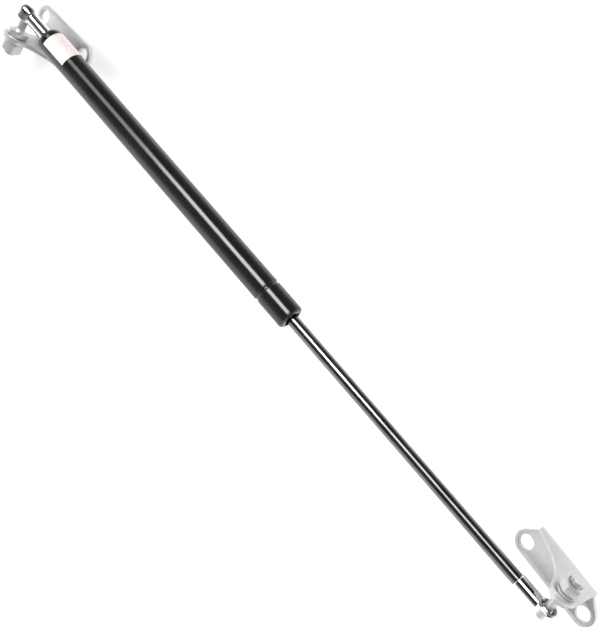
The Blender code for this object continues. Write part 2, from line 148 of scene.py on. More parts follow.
def close_edit():
    bpy.ops.object.mode_set(mode="OBJECT")
    bpy.ops.object.transform_apply(location=True, rotation=True, scale=True)


def place(piece, matrix):
    """Moves a piece into the object's frame, and puts its place in its mesh."""
    pick(piece)
    piece.matrix_world = matrix
    bpy.ops.object.transform_apply(location=True, rotation=True, scale=True)
    return piece


def apply(piece, modifier):
    pick(piece)
    bpy.ops.object.modifier_apply(modifier=modifier.name)


def soften(piece, width, segments=3, angle=30):
    """Rounds the piece's sharp edges."""
    bevel = piece.modifiers.new("soften", "BEVEL")
    bevel.width = width
    bevel.segments = segments
    bevel.limit_method = "ANGLE"
    bevel.angle_limit = math.radians(angle)
    apply(piece, bevel)
    return piece


def combine(piece, tool, operation):
    """Cuts, joins or trims a piece with a tool piece, which is then thrown away."""
    boolean = piece.modifiers.new("combine", "BOOLEAN")
    boolean.operation = operation
    boolean.solver = "EXACT"
    boolean.object = tool
    apply(piece, boolean)
    bpy.data.objects.remove(tool, do_unlink=True)
    return piece


def smooth(piece, angle=35):
    """Shades the piece smooth, except over edges sharper than the angle."""
    pick(piece)
    bpy.ops.object.shade_smooth_by_angle(angle=math.radians(angle))
    return piece


def arc(along, radius, size, start, end, steps):
    """Points round (along, radius), from one angle in degrees to another."""
    turns = [math.radians(start + (end - start) * i / steps) for i in range(steps + 1)]
    return [(along + size * math.cos(turn), radius + size * math.sin(turn)) for turn in turns]


def draw(name, points):
    """Draws a chain of edges by extruding one point along the rest."""
    bpy.ops.object.select_all(action="DESELECT")
    bpy.ops.mesh.primitive_plane_add(size=MM, location=points[0])
    piece = added(name)
    bpy.ops.mesh.merge(type="CENTER")
    for last, point in zip(points, points[1:]):
        bpy.ops.mesh.extrude_region_move(TRANSFORM_OT_translate={"value": Vector(point) - Vector(last)})
    return piece


def turn(name, profile, steps=ROUND, sweep=2 * math.pi):
    """Turns a profile of (along, radius) points about X, as on a lathe."""
    piece = draw(name, [(along, 0, radius) for along, radius in profile])
    bpy.ops.mesh.select_all(action="SELECT")
    bpy.ops.mesh.spin(steps=steps, angle=sweep, center=(0, 0, 0), axis=(1, 0, 0))
    bpy.ops.mesh.select_all(action="SELECT")
    bpy.ops.mesh.remove_doubles(threshold=MM / 1000)
    if sweep < 2 * math.pi:
        bpy.ops.mesh.fill_holes(sides=0)
    bpy.ops.mesh.select_all(action="SELECT")
    bpy.ops.mesh.normals_make_consistent(inside=False)
    close_edit()
    return piece


# ---- Frames at the two ball joints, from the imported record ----


def frame_of(place_at, x_axis, y_axis):
    matrix = Matrix((x_axis, y_axis, x_axis.cross(y_axis))).transposed().to_4x4()
    matrix.translation = place_at
    return matrix


def joint_frames(record, end, inward):
    """The frames of the socket, of the stud (X towards the nut) and of the bracket."""
    joints = {joint["name"]: joint for joint in record["behaviour"]["joints"]}
    mounts = {mount["name"]: mount for mount in record["mounts"]}
    tilt = joints[end + "_ball_tilt"]
    ball = Vector(tilt["pos_m"])
    mouth = inward.cross(Vector(tilt["axis"]))
    across = Vector(joints[end + "_bracket_swivel"]["axis"])
    along = across.cross(-Vector(mounts[end + "_bracket_face"]["axis"]))
    return frame_of(ball, inward, mouth), frame_of(ball, -across, along), frame_of(ball, along, across)


# ---- The strut ----


def gas_cylinder(start):
    """The drawn tube: closed end, rolled groove and mouth rolled in over the guide."""
    inner = CYLINDER_R - CYLINDER_WALL
    end = CYLINDER_START + CYLINDER_LENGTH
    groove = end - GROOVE_FROM_MOUTH
    groove_r = (GROOVE_HALF**2 + GROOVE_DEPTH**2) / (2 * GROOVE_DEPTH)
    swing = math.degrees(math.asin(GROOVE_HALF / groove_r))
    lift = CYLINDER_R - GROOVE_DEPTH + groove_r
    floor = CYLINDER_START + CLOSED_END_WALL
    rounded = CYLINDER_START + CLOSED_END_ROUND
    stud_hole = ROD_THREAD_R + GAP
    profile = [(CYLINDER_START, stud_hole)]
    profile += arc(rounded, CYLINDER_R - CLOSED_END_ROUND, CLOSED_END_ROUND, 180, 90, 14)
    profile += [(groove - 3 * GROOVE_HALF, CYLINDER_R)]
    profile += arc(groove, lift, groove_r, 270 - swing, 270 + swing, 10)
    profile += [(groove + 3 * GROOVE_HALF, CYLINDER_R)]
    profile += arc(end - MOUTH_ROUND, CYLINDER_R - MOUTH_ROUND, MOUTH_ROUND, 90, 0, 10)
    profile += [(end, MOUTH_R), (end - CYLINDER_WALL, MOUTH_R), (end - CYLINDER_WALL, inner)]
    profile += arc(groove, lift - CYLINDER_WALL, groove_r, 270 + swing, 270 - swing, 6)
    profile += [(rounded, inner), (floor, inner - CLOSED_END_SLOPE), (floor, stud_hole)]
    profile += [profile[0]]
    piece = soften(turn("gas_cylinder", profile, FINE), 0.12 * MM)
    return smooth(place(piece, Matrix.Translation(start)), 30)


def wrapped_label(start):
    """The printed label, stuck part of the way round the cylinder."""
    first = CYLINDER_START + LABEL_START
    last = first + LABEL_LENGTH
    inner = CYLINDER_R + LABEL_LIFT
    outer = inner + LABEL_THICK
    profile = [(first, inner), (last, inner), (last, outer), (first, outer), (first, inner)]
    piece = turn("wrapped_label", profile, 72, LABEL_TURN)
    side = LABEL_MIDDLE + LABEL_TURN / 2 - math.pi / 2
    soften(piece, 0.04 * MM, 2)
    place(piece, Matrix.Rotation(side, 4, "X"))
    return smooth(place(piece, Matrix.Translation(start)))


def sliding_rod(start, end):
    """The rod, from the rivet behind its piston to the thread in the rod's socket."""
    piston_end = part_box("piston_rod")[0].x - start.x
    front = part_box("piston_washer_front")[1].x - start.x + GAP
    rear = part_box("piston_washer_rear")[0].x - start.x - GAP
    shoulder = (end - start).x - ROD_TO_BALL
    tip = shoulder + THREAD_IN_SOCKET
    profile = [(piston_end, 0), (piston_end, ROD_SPIGOT_R)]
    profile += arc(rear - RIVET_ROUND, ROD_R - RIVET_ROUND, RIVET_ROUND, 180, 90, 5)
    profile += [(rear, ROD_R), (rear, ROD_SPIGOT_R), (front, ROD_SPIGOT_R), (front, ROD_R)]
    profile += [(shoulder, ROD_R), (shoulder, ROD_THREAD_R), (tip, ROD_THREAD_R), (tip, 0)]
    piece = soften(turn("sliding_rod", profile, 96), 0.25 * MM)
    return smooth(place(piece, Matrix.Translation(start)))


# ---- The ball joints ----


def ball_socket(name, at):
    """A tubular shank blended into a round head, with the pocket that the ball snaps into."""
    head = [(-HEAD_R, 0)]
    head += arc(-HEAD_R + HEAD_ROUND, HEAD_R - HEAD_ROUND, HEAD_ROUND, 180, 90, 16)
    head += [(HEAD_FRONT - HEAD_CHAMFER, HEAD_R), (HEAD_FRONT, HEAD_R - HEAD_CHAMFER), (HEAD_FRONT, 0)]
    piece = place(turn(name, head), Matrix.Rotation(math.pi / 2, 4, "Z"))
    shank_end = CYLINDER_START - GAP
    shank = [(0, 0), (0, SHANK_R), (shank_end - SHANK_CHAMFER, SHANK_R)]
    shank += [(shank_end, SHANK_R - SHANK_CHAMFER), (shank_end, 0)]
    combine(piece, turn("shank", shank), "UNION")
    blend = piece.modifiers.new("blend", "REMESH")
    blend.mode = "VOXEL"
    blend.voxel_size = 0.2 * MM
    apply(piece, blend)
    relax = piece.modifiers.new("relax", "SMOOTH")
    relax.factor = 0.5
    relax.iterations = 12
    apply(piece, relax)
    ring_half = SNAP_WIRE_R + GAP
    ring_out = SNAP_RING_R + SNAP_WIRE_R + GAP
    pocket = [(-POCKET_R, 0)] + arc(0, 0, POCKET_R, 170, 90, 10)
    pocket += [(SNAP_RING_AT - ring_half, POCKET_R), (SNAP_RING_AT - ring_half, ring_out)]
    pocket += [(SNAP_RING_AT + ring_half, ring_out), (SNAP_RING_AT + ring_half, POCKET_R)]
    pocket += [(HEAD_FRONT - 0.4 * MM, POCKET_R), (HEAD_FRONT + 0.8 * MM, POCKET_R + 1.2 * MM)]
    pocket += [(HEAD_FRONT + 0.8 * MM, 0)]
    combine(piece, place(turn("pocket", pocket), Matrix.Rotation(math.pi / 2, 4, "Z")), "DIFFERENCE")
    bore_r = ROD_THREAD_R + GAP
    bore_start = CYLINDER_START - THREAD_IN_SOCKET - GAP
    bore = [(bore_start, 0), (bore_start, bore_r), (shank_end - 0.6 * MM, bore_r)]
    bore += [(shank_end + 0.6 * MM, bore_r + 1.2 * MM), (shank_end + 0.6 * MM, 0)]
    combine(piece, turn("bore", bore), "DIFFERENCE")
    return smooth(place(piece, at), 40)


def snap_ring(name, at):
    """The open ring of round wire that keeps the ball in its pocket."""
    wire = arc(SNAP_RING_AT, SNAP_RING_R, SNAP_WIRE_R, 0, 360, 16)
    piece = turn(name, wire, 56, SNAP_RING_TURN)
    place(piece, Matrix.Rotation(math.pi / 2, 4, "Z"))
    return smooth(place(piece, at), 50)


def stud_ball(name, at):
    """The ball, flat where its stud starts."""
    flat = math.degrees(math.acos(BALL_FLAT))
    outline = arc(0, 0, BALL_R, 180, flat, 40)
    outline[0] = (-BALL_R, 0)
    piece = turn(name, outline + [(BALL_FLAT * BALL_R, 0)], 72)
    return smooth(place(soften(piece, 0.1 * MM, 2), at))


def hexagon_bar(name, start, end, across):
    """A length of hexagon bar along X, its corners turned off at both ends."""
    bpy.ops.object.select_all(action="DESELECT")
    middle = (start + end) / 2
    bpy.ops.mesh.primitive_cylinder_add(
        vertices=6, radius=across / math.sqrt(3), depth=end - start,
        location=(middle, 0, 0), rotation=(math.pi / 2, 0, math.pi / 2),
    )
    piece = added(name)
    close_edit()
    reach = across * 0.62
    face = across * 0.49
    chamfer = math.radians(28)
    drop = (reach - face) * math.tan(chamfer)
    blank = [(start, 0), (start, face), (start + drop, reach), (end - drop, reach), (end, face), (end, 0)]
    return combine(piece, turn("blank", blank), "INTERSECT")


def thread(name, start, end, radius, pitch):
    """A screw thread along X: a core, one tooth wound round it, and both ends turned to length."""
    depth = 0.61 * pitch
    root = radius - depth
    buried = root - 0.15 * MM
    tooth = [(0.03, buried), (0.42, radius), (0.54, radius), (0.93, buried), (0.03, buried)]
    ridge = draw("ridge", [(start + (share - 1) * pitch, 0, reach) for share, reach in tooth])
    bpy.ops.mesh.select_all(action="SELECT")
    bpy.ops.mesh.remove_doubles(threshold=MM / 1000)
    close_edit()
    winding = ridge.modifiers.new("winding", "SCREW")
    winding.axis = "X"
    winding.screw_offset = pitch
    winding.iterations = math.ceil((end - start) / pitch) + 1
    winding.steps = 40
    winding.render_steps = 40
    apply(ridge, winding)
    bpy.ops.object.mode_set(mode="EDIT")
    bpy.ops.mesh.select_all(action="SELECT")
    bpy.ops.mesh.fill_holes(sides=4)
    bpy.ops.mesh.normals_make_consistent(inside=False)
    close_edit()
    core = turn(name, [(start - MM, 0), (start - MM, root), (end + MM, root), (end + MM, 0)], 40)
    blank = [(start, 0), (start, radius + MM), (end - THREAD_LEAD - MM, radius + MM)]
    blank += [(end, radius - THREAD_LEAD), (end, 0)]
    return combine(combine(core, ridge, "UNION"), turn("blank", blank), "INTERSECT")


def ball_stud(name, at):
    """The stud: a waisted neck, a hexagon to hold it by and the screw thread."""
    collar_end = HEX_END - 0.2 * MM
    plain_end = HEX_END + 2 * MM
    plain_r = STUD_R - 0.1 * MM
    neck = [(NECK_START, 0), (NECK_START, NECK_R), (HEX_START - NECK_FLARE, NECK_R)]
    neck += [(HEX_START, COLLAR_R), (collar_end, COLLAR_R)]
    neck += [(collar_end, plain_r), (plain_end, plain_r), (plain_end, 0)]
    piece = soften(turn(name, neck, 48), 0.3 * MM)
    combine(piece, hexagon_bar("grip", HEX_START, HEX_END, HEX_ACROSS), "UNION")
    combine(piece, thread("stud_thread", THREAD_START, STUD_END, STUD_R, STUD_PITCH), "UNION")
    return smooth(place(piece, at), 28)


def stud_washer(name, at):
    """A spring washer: a square-section ring, cut through at one side."""
    first = PLATE_FACE + SHEET + GAP
    last = first + WASHER_THICK
    bore = STUD_R + GAP
    profile = [(first, bore), (last, bore), (last, WASHER_R), (first, WASHER_R), (first, bore)]
    piece = turn(name, profile)
    bpy.ops.object.select_all(action="DESELECT")
    middle = (first + last) / 2
    slant = math.radians(25)
    bpy.ops.mesh.primitive_cube_add(size=1, location=(middle, 0, -WASHER_R), rotation=(0, 0, slant))
    slit = added("slit")
    bpy.ops.transform.resize(value=(4 * WASHER_THICK, WASHER_SLIT, WASHER_R))
    close_edit()
    combine(piece, slit, "DIFFERENCE")
    soften(piece, 0.15 * MM)
    return smooth(place(piece, at))


def stud_nut(name, at):
    """The hexagon nut, with a plain bore bevelled at both ends."""
    first = PLATE_FACE + SHEET + GAP + WASHER_THICK + GAP
    last = first + NUT_HEIGHT
    piece = hexagon_bar(name, first, last, HEX_ACROSS)
    bore = STUD_R + 0.06 * MM
    past = 0.5 * MM
    wide = bore + NUT_BEVEL + past
    cut = [(first - past, 0), (first - past, wide), (first + NUT_BEVEL, bore)]
    cut += [(last - NUT_BEVEL, bore), (last + past, wide), (last + past, 0)]
    combine(piece, turn("nut_bore", cut, 48), "DIFFERENCE")
    soften(piece, 0.12 * MM, 2)
    return smooth(place(piece, at), 25)


# ---- The angle brackets ----


def drill(piece, centre, rotation, radius):
    """Drills a round hole right through the sheet."""
    bpy.ops.object.select_all(action="DESELECT")
    bpy.ops.mesh.primitive_cylinder_add(
        vertices=72, radius=radius, depth=2 * SHEET, location=centre, rotation=rotation
    )
    bit = added("drill")
    close_edit()
    combine(piece, bit, "DIFFERENCE")


def lobe(corner_x, hole_x, side):
    """The mounting flange's end: tangent from the bend's corner round a screw hole."""
    to_hole = Vector((hole_x - corner_x, SCREW_HOLE_Y - BEND_IN_R))
    spread = math.degrees(math.acos(LOBE_R / to_hole.length))
    start = math.degrees(math.atan2(-to_hole.y, -to_hole.x)) + side * spread
    return arc(hole_x, SCREW_HOLE_Y, LOBE_R, start if side > 0 else start + 360, 90, 20)


def ear():
    """The stud flange's free edge: round the stud, then sweeping down to the far end."""
    top = arc(0, STUD_HEIGHT, EAR_R, 180, 15, 24)
    start = Vector(top[-1])
    foot = Vector((FLANGE_FAR - 3 * MM, 4.6 * MM))
    near = start + Vector((3.1, -11.6)) * MM
    far = foot + Vector((-13.2, 4.8)) * MM
    steps = 24
    sweep = []
    for step in range(1, steps + 1):
        t = step / steps
        s = 1 - t
        sweep.append(start * s**3 + near * 3 * s * s * t + far * 3 * s * t * t + foot * t**3)
    return top + [tuple(point) for point in sweep] + [(FLANGE_FAR, 3.4 * MM)]


def angle_bracket(name, at):
    """A stamped sheet angle: outline drawn flat, bent up, thickened, drilled and its edges broken."""
    flange = [(FLANGE_NEAR, BEND_IN_R, 0)]
    flange += [(x, y, 0) for x, y in lobe(FLANGE_NEAR, SCREW_HOLES[0], -1)]
    flange += [(x, y, 0) for x, y in reversed(lobe(FLANGE_FAR, SCREW_HOLES[1], 1))]
    flange += [(FLANGE_FAR, BEND_IN_R, 0)]
    piece = draw(name, flange)
    bpy.ops.mesh.select_all(action="SELECT")
    bpy.ops.mesh.edge_face_add()
    close_edit()

    upright = [(FLANGE_NEAR, 0, BEND_IN_R)]
    upright += [(x, 0, max(z, BEND_IN_R)) for x, z in ear()] + [(FLANGE_FAR, 0, BEND_IN_R)]
    wall = draw("upright", upright)
    bpy.ops.mesh.select_all(action="SELECT")
    bpy.ops.mesh.edge_face_add()
    close_edit()

    bend = draw("bend", [(FLANGE_NEAR, BEND_IN_R, 0), (FLANGE_FAR, BEND_IN_R, 0)])
    bpy.ops.mesh.select_all(action="SELECT")
    bpy.ops.mesh.spin(steps=10, angle=math.pi / 2, center=(0, BEND_IN_R, BEND_IN_R), axis=(1, 0, 0))
    close_edit()

    pick(piece)
    wall.select_set(True)
    bend.select_set(True)
    bpy.ops.object.join()
    bpy.ops.object.mode_set(mode="EDIT")
    bpy.ops.mesh.select_all(action="SELECT")
    bpy.ops.mesh.remove_doubles(threshold=MM / 500)
    bpy.ops.mesh.normals_make_consistent(inside=False)
    bpy.ops.object.mode_set(mode="OBJECT")
    inside = piece.data.polygons[0].normal.z > 0
    sheet = piece.modifiers.new("sheet", "SOLIDIFY")
    sheet.thickness = SHEET
    sheet.offset = -1 if inside else 1
    sheet.use_even_offset = True
    apply(piece, sheet)

    for hole_x in SCREW_HOLES:
        drill(piece, (hole_x, SCREW_HOLE_Y, -SHEET / 2), (0, 0, 0), SCREW_HOLE_R)
    drill(piece, (0, -SHEET / 2, STUD_HEIGHT), (math.pi / 2, 0, 0), STUD_R + GAP)
    soften(piece, 0.45 * MM, 3, 50)
    smooth(piece, 40)
    return place(piece, at @ Matrix.Translation((0, -PLATE_FACE, -STUD_HEIGHT)))


# ---- Finishes ----


def node_group(name, inputs, outputs):
    """A shader node group with named inputs and outputs; returns its tree, its input and its output."""
    tree = bpy.data.node_groups.new(name, "ShaderNodeTree")
    for socket, kind, value in inputs:
        made = tree.interface.new_socket(name=socket, in_out="INPUT", socket_type=kind)
        if value is not None:
            made.default_value = value
    for socket, kind in outputs:
        tree.interface.new_socket(name=socket, in_out="OUTPUT", socket_type=kind)
    return tree, tree.nodes.new("NodeGroupInput"), tree.nodes.new("NodeGroupOutput")


def math_node(tree, operation, first, second=None):
    """A math node whose operands are sockets or numbers; returns its output."""
    node = tree.nodes.new("ShaderNodeMath")
    node.operation = operation
    for slot, operand in enumerate((first, second)):
        if isinstance(operand, (int, float)):
            node.inputs[slot].default_value = operand
        elif operand is not None:
            tree.links.new(operand, node.inputs[slot])
    return node.outputs[0]


def mottle_group():
    """Soft cloudy variation with finer grain in it."""
    tree, inp, out = node_group(
        "mottle",
        [
            ("Vector", "NodeSocketVector", None),
            ("Scale", "NodeSocketFloat", 100.0),
            ("Contrast", "NodeSocketFloat", 1.0),
        ],
        [("Mask", "NodeSocketFloat")],
    )
    noise = tree.nodes.new("ShaderNodeTexNoise")
    noise.inputs["Detail"].default_value = 6
    noise.inputs["Roughness"].default_value = 0.6
    tree.links.new(inp.outputs["Vector"], noise.inputs["Vector"])
    tree.links.new(inp.outputs["Scale"], noise.inputs["Scale"])
    centred = math_node(tree, "SUBTRACT", noise.outputs["Fac"], 0.5)
    spread = math_node(tree, "MULTIPLY", centred, inp.outputs["Contrast"])
    level = tree.nodes.new("ShaderNodeClamp")
    tree.links.new(math_node(tree, "ADD", spread, 0.5), level.inputs["Value"])
    tree.links.new(level.outputs["Result"], out.inputs["Mask"])
    return tree


def grain_group():
    """Fine directional marks: noise drawn out along one axis by the Stretch vector."""
    tree, inp, out = node_group(
        "polishing_grain",
        [
            ("Vector", "NodeSocketVector", None),
            ("Stretch", "NodeSocketVector", (1.0, 1.0, 1.0)),
            ("Scale", "NodeSocketFloat", 800.0),
        ],
        [("Height", "NodeSocketFloat")],
    )
    drawn = tree.nodes.new("ShaderNodeVectorMath")
    drawn.operation = "MULTIPLY"
    tree.links.new(inp.outputs["Vector"], drawn.inputs[0])
    tree.links.new(inp.outputs["Stretch"], drawn.inputs[1])
    noise = tree.nodes.new("ShaderNodeTexNoise")
    noise.inputs["Detail"].default_value = 3
    tree.links.new(drawn.outputs[0], noise.inputs["Vector"])
    tree.links.new(inp.outputs["Scale"], noise.inputs["Scale"])
    tree.links.new(noise.outputs["Fac"], out.inputs["Height"])
    return tree


def specks_group():
    """Scattered small specks, such as dust, pits or spangle."""
    tree, inp, out = node_group(
        "specks",
        [
            ("Vector", "NodeSocketVector", None),
            ("Scale", "NodeSocketFloat", 400.0),
            ("Size", "NodeSocketFloat", 0.12),
        ],
        [("Mask", "NodeSocketFloat")],
    )
    cells = tree.nodes.new("ShaderNodeTexVoronoi")
    tree.links.new(inp.outputs["Vector"], cells.inputs["Vector"])
    tree.links.new(inp.outputs["Scale"], cells.inputs["Scale"])
    near = math_node(tree, "LESS_THAN", cells.outputs["Distance"], inp.outputs["Size"])
    picked = tree.nodes.new("ShaderNodeSeparateColor")
    tree.links.new(cells.outputs["Color"], picked.inputs["Color"])
    rare = math_node(tree, "GREATER_THAN", picked.outputs[0], 0.8)
    tree.links.new(math_node(tree, "MULTIPLY", near, rare), out.inputs["Mask"])
    return tree


def print_group():
    """Rows of short printed marks of random length, as generic small print."""
    tree, inp, out = node_group(
        "small_print",
        [
            ("Along", "NodeSocketFloat", 0.0),
            ("Around", "NodeSocketFloat", 0.0),
            ("Row", "NodeSocketFloat", 1.6 * MM),
            ("Mark", "NodeSocketFloat", 1.1 * MM),
            ("Fill", "NodeSocketFloat", 0.6),
        ],
        [("Mask", "NodeSocketFloat")],
    )
    row = math_node(tree, "DIVIDE", inp.outputs["Around"], inp.outputs["Row"])
    mark = math_node(tree, "DIVIDE", inp.outputs["Along"], inp.outputs["Mark"])
    cell = tree.nodes.new("ShaderNodeCombineXYZ")
    tree.links.new(math_node(tree, "FLOOR", row), cell.inputs["X"])
    tree.links.new(math_node(tree, "FLOOR", mark), cell.inputs["Y"])
    chance = tree.nodes.new("ShaderNodeTexWhiteNoise")
    tree.links.new(cell.outputs["Vector"], chance.inputs["Vector"])
    printed = math_node(tree, "LESS_THAN", chance.outputs["Value"], inp.outputs["Fill"])
    in_row = math_node(tree, "LESS_THAN", math_node(tree, "FRACT", row), 0.5)
    tree.links.new(math_node(tree, "MULTIPLY", printed, in_row), out.inputs["Mask"])
    return tree


def tone(value):
    return (value, value, value) if isinstance(value, (int, float)) else value


class Finish:
    """A material under construction: its tree, its shader and the Object coordinates."""

    def __init__(self, name):
        self.material = bpy.data.materials.new(name)
        self.material.use_nodes = True
        self.tree = self.material.node_tree
        self.shader = self.tree.nodes["Principled BSDF"]
        self.place = self.tree.nodes.new("ShaderNodeTexCoord").outputs["Object"]

    def set(self, **values):
        for socket, value in values.items():
            self.shader.inputs[socket.replace("_", " ")].default_value = value

    def add(self, group, **values):
        """Places a node group, fed with Object coordinates unless told otherwise."""
        node = self.tree.nodes.new("ShaderNodeGroup")
        node.node_tree = group
        if "Vector" in node.inputs:
            self.tree.links.new(self.place, node.inputs["Vector"])
        for socket, value in values.items():
            if isinstance(value, bpy.types.NodeSocket):
                self.tree.links.new(value, node.inputs[socket])
            else:
                node.inputs[socket].default_value = value
        return node.outputs[0]

    def between(self, mask, low, high):
        """A number that runs from low to high as the mask runs from 0 to 1."""
        node = self.tree.nodes.new("ShaderNodeMapRange")
        node.inputs["To Min"].default_value = low
        node.inputs["To Max"].default_value = high
        self.tree.links.new(mask, node.inputs["Value"])
        return node.outputs["Result"]

    def blend(self, mask, first, second):
        """A colour from first to second, each a colour or a socket."""
        node = self.tree.nodes.new("ShaderNodeMix")
        node.data_type = "RGBA"
        self.tree.links.new(mask, node.inputs["Factor"])
        for name, value in (("A", first), ("B", second)):
            socket = next(s for s in node.inputs if s.name == name and s.type == "RGBA")
            if isinstance(value, bpy.types.NodeSocket):
                self.tree.links.new(value, socket)
            else:
                socket.default_value = (*tone(value), 1)
        return next(s for s in node.outputs if s.type == "RGBA")

    def feed(self, socket, output):
        self.tree.links.new(output, self.shader.inputs[socket])

    def bump(self, height, strength, distance=0.05 * MM):
        node = self.tree.nodes.new("ShaderNodeBump")
        node.inputs["Strength"].default_value = strength
        node.inputs["Distance"].default_value = distance
        self.tree.links.new(height, node.inputs["Height"])
        if self.shader.inputs["Normal"].is_linked:
            self.tree.links.new(self.shader.inputs["Normal"].links[0].from_socket, node.inputs["Normal"])
        self.feed("Normal", node.outputs["Normal"])


def metal(name, groups, dark, light, rough, grain, stretch=(1, 1, 1), scale=900, cloud=120, strength=0.05):
    """A metal finish: two tones in a cloudy mix, and polishing marks in its gloss and relief."""
    finish = Finish(name)
    finish.set(Metallic=1.0)
    cloudy = finish.add(groups["mottle"], Scale=cloud, Contrast=1.6)
    marks = finish.add(groups["grain"], Stretch=stretch, Scale=scale)
    finish.feed("Base Color", finish.blend(cloudy, dark, light))
    level = finish.between(cloudy, *rough)
    finish.feed("Roughness", math_node(finish.tree, "ADD", level, finish.between(marks, -grain, grain)))
    finish.bump(marks, strength)
    return finish


def enamel(groups):
    """Gloss black enamel, with a little orange peel and a few dust specks."""
    finish = Finish("gloss_enamel")
    peel = finish.add(groups["mottle"], Scale=420, Contrast=1.0)
    cloudy = finish.add(groups["mottle"], Scale=45, Contrast=2.0)
    dust = finish.add(groups["specks"], Scale=700, Size=0.1)
    finish.feed("Base Color", finish.blend(dust, finish.blend(cloudy, 0.006, 0.01), 0.03))
    level = finish.between(cloudy, 0.14, 0.2)
    finish.feed("Roughness", math_node(finish.tree, "ADD", level, finish.between(dust, 0, 0.2)))
    finish.set(IOR=1.5)
    finish.bump(peel, 0.03, 0.1 * MM)
    return finish.material


def label_paper(groups, axis):
    """Cream label stock with faint red rows of small print and a few grey marks."""
    finish = Finish("label_paper")
    tree = finish.tree
    split = tree.nodes.new("ShaderNodeSeparateXYZ")
    tree.links.new(finish.place, split.inputs[0])
    up = math_node(tree, "SUBTRACT", split.outputs["Z"], axis.z)
    side = math_node(tree, "SUBTRACT", split.outputs["Y"], axis.y)
    around = math_node(tree, "MULTIPLY", math_node(tree, "ARCTAN2", up, side), CYLINDER_R)
    along = math_node(tree, "SUBTRACT", split.outputs["X"], axis.x + CYLINDER_START + LABEL_START)
    red = finish.add(groups["print"], Along=along, Around=around, **RED_PRINT)
    grey = finish.add(groups["print"], Along=along, Around=around, **GREY_PRINT)
    late = math_node(tree, "GREATER_THAN", along, LABEL_LENGTH * 0.55)
    low = math_node(tree, "LESS_THAN", around, 13 * MM)
    grey = math_node(tree, "MULTIPLY", grey, math_node(tree, "MULTIPLY", late, low))
    fibre = finish.add(groups["mottle"], Scale=900, Contrast=1.0)
    worn = finish.add(groups["mottle"], Scale=190, Contrast=3.0)
    stock = finish.blend(fibre, (0.6, 0.565, 0.55), (0.65, 0.62, 0.605))
    faded = math_node(tree, "MULTIPLY", red, finish.between(worn, 0.1, 0.45))
    printed = finish.blend(faded, stock, (0.55, 0.2, 0.2))
    dim = math_node(tree, "MULTIPLY", grey, finish.between(worn, 0.3, 0.1))
    finish.feed("Base Color", finish.blend(dim, printed, 0.22))
    finish.feed("Roughness", finish.between(fibre, 0.4, 0.5))
    finish.bump(fibre, 0.05)
    return finish.material


def plain(name, groups, dark, light, rough, scale):
    """A moulded or rubber finish: two tones, satin variation and a fine pebbled relief."""
    finish = Finish(name)
    pebble = finish.add(groups["mottle"], Scale=scale, Contrast=1.5)
    finish.feed("Base Color", finish.blend(pebble, dark, light))
    finish.feed("Roughness", finish.between(pebble, *rough))
    finish.bump(pebble, 0.1)
    return finish.material


def finishes(axis):
    """A finish for each of the record's material slots."""
    groups = {
        "mottle": mottle_group(),
        "grain": grain_group(),
        "specks": specks_group(),
        "print": print_group(),
    }
    bronze = ((0.32, 0.23, 0.12), (0.44, 0.33, 0.19))
    nylon = ((0.08, 0.1, 0.13), (0.12, 0.14, 0.19))
    ring = (0.15, 1.0, 1.0)
    zinc = metal("zinc_plate", groups, 0.45, 0.54, (0.3, 0.4), 0.05, scale=500, cloud=220, strength=0.06)
    zinc.set(Metallic=0.7)
    nitride = metal("black_nitride", groups, 0.13, 0.23, (0.15, 0.23), 0.03, ring, 900, 90, 0.03)
    chrome = metal("polished_chrome", groups, 0.78, 0.84, (0.03, 0.07), 0.01, scale=1500, strength=0.01)
    return {
        "tube_paint": enamel(groups),
        "label_paper": label_paper(groups, axis),
        "rod_nitride": nitride.material,
        "chrome": chrome.material,
        "zinc": zinc.material,
        "steel": metal("bright_steel", groups, 0.45, 0.55, (0.18, 0.3), 0.06, ring, 700).material,
        "bronze": metal("bearing_bronze", groups, *bronze, (0.35, 0.5), 0.05).material,
        "rubber": plain("nitrile_rubber", groups, 0.012, 0.022, (0.5, 0.65), 900),
        "piston_plastic": plain("moulded_nylon", groups, *nylon, (0.4, 0.55), 500),
    }


# ---- The stage ----


def studio(middle):
    """A pale floor, a sky that pales towards the horizon, two soft boxes and two strips overhead."""
    bpy.ops.object.select_all(action="DESELECT")
    bpy.ops.mesh.primitive_plane_add(size=8, location=(0, 0, 0))
    floor = bpy.context.active_object
    floor.name = "floor"
    pale = Finish("pale_floor")
    pale.set(Base_Color=(0.92, 0.92, 0.92, 1), Roughness=0.9)
    floor.data.materials.append(pale.material)

    world = bpy.data.worlds.new("studio")
    bpy.context.scene.world = world
    world.use_nodes = True
    tree = world.node_tree
    direction = tree.nodes.new("ShaderNodeTexCoord")
    split = tree.nodes.new("ShaderNodeSeparateXYZ")
    ramp = tree.nodes.new("ShaderNodeValToRGB")
    horizon, overhead = ramp.color_ramp.elements
    horizon.position = 0.03
    horizon.color = (1.0, 1.0, 1.0, 1)
    overhead.position = 0.72
    overhead.color = (0.02, 0.02, 0.02, 1)
    halfway = ramp.color_ramp.elements.new(0.3)
    halfway.color = (0.3, 0.3, 0.3, 1)
    tree.links.new(direction.outputs["Generated"], split.inputs[0])
    tree.links.new(split.outputs["Z"], ramp.inputs["Fac"])
    tree.links.new(ramp.outputs["Color"], tree.nodes["Background"].inputs["Color"])

    softbox("long_strip", middle, (-0.15, -0.05, 1.3), (2.7, 0.58), 22, "DIFFUSE")
    softbox("short_strip", middle, (-0.4, -0.05, 1.25), (0.56, 0.52), 11, "DIFFUSE")
    softbox("left_box", middle, (-1.6, -1.4, 1.3), (3.0, 2.4), 138, "GLOSSY")
    softbox("right_box", middle, (1.6, 1.4, 1.3), (3.0, 2.4), 114, "GLOSSY")


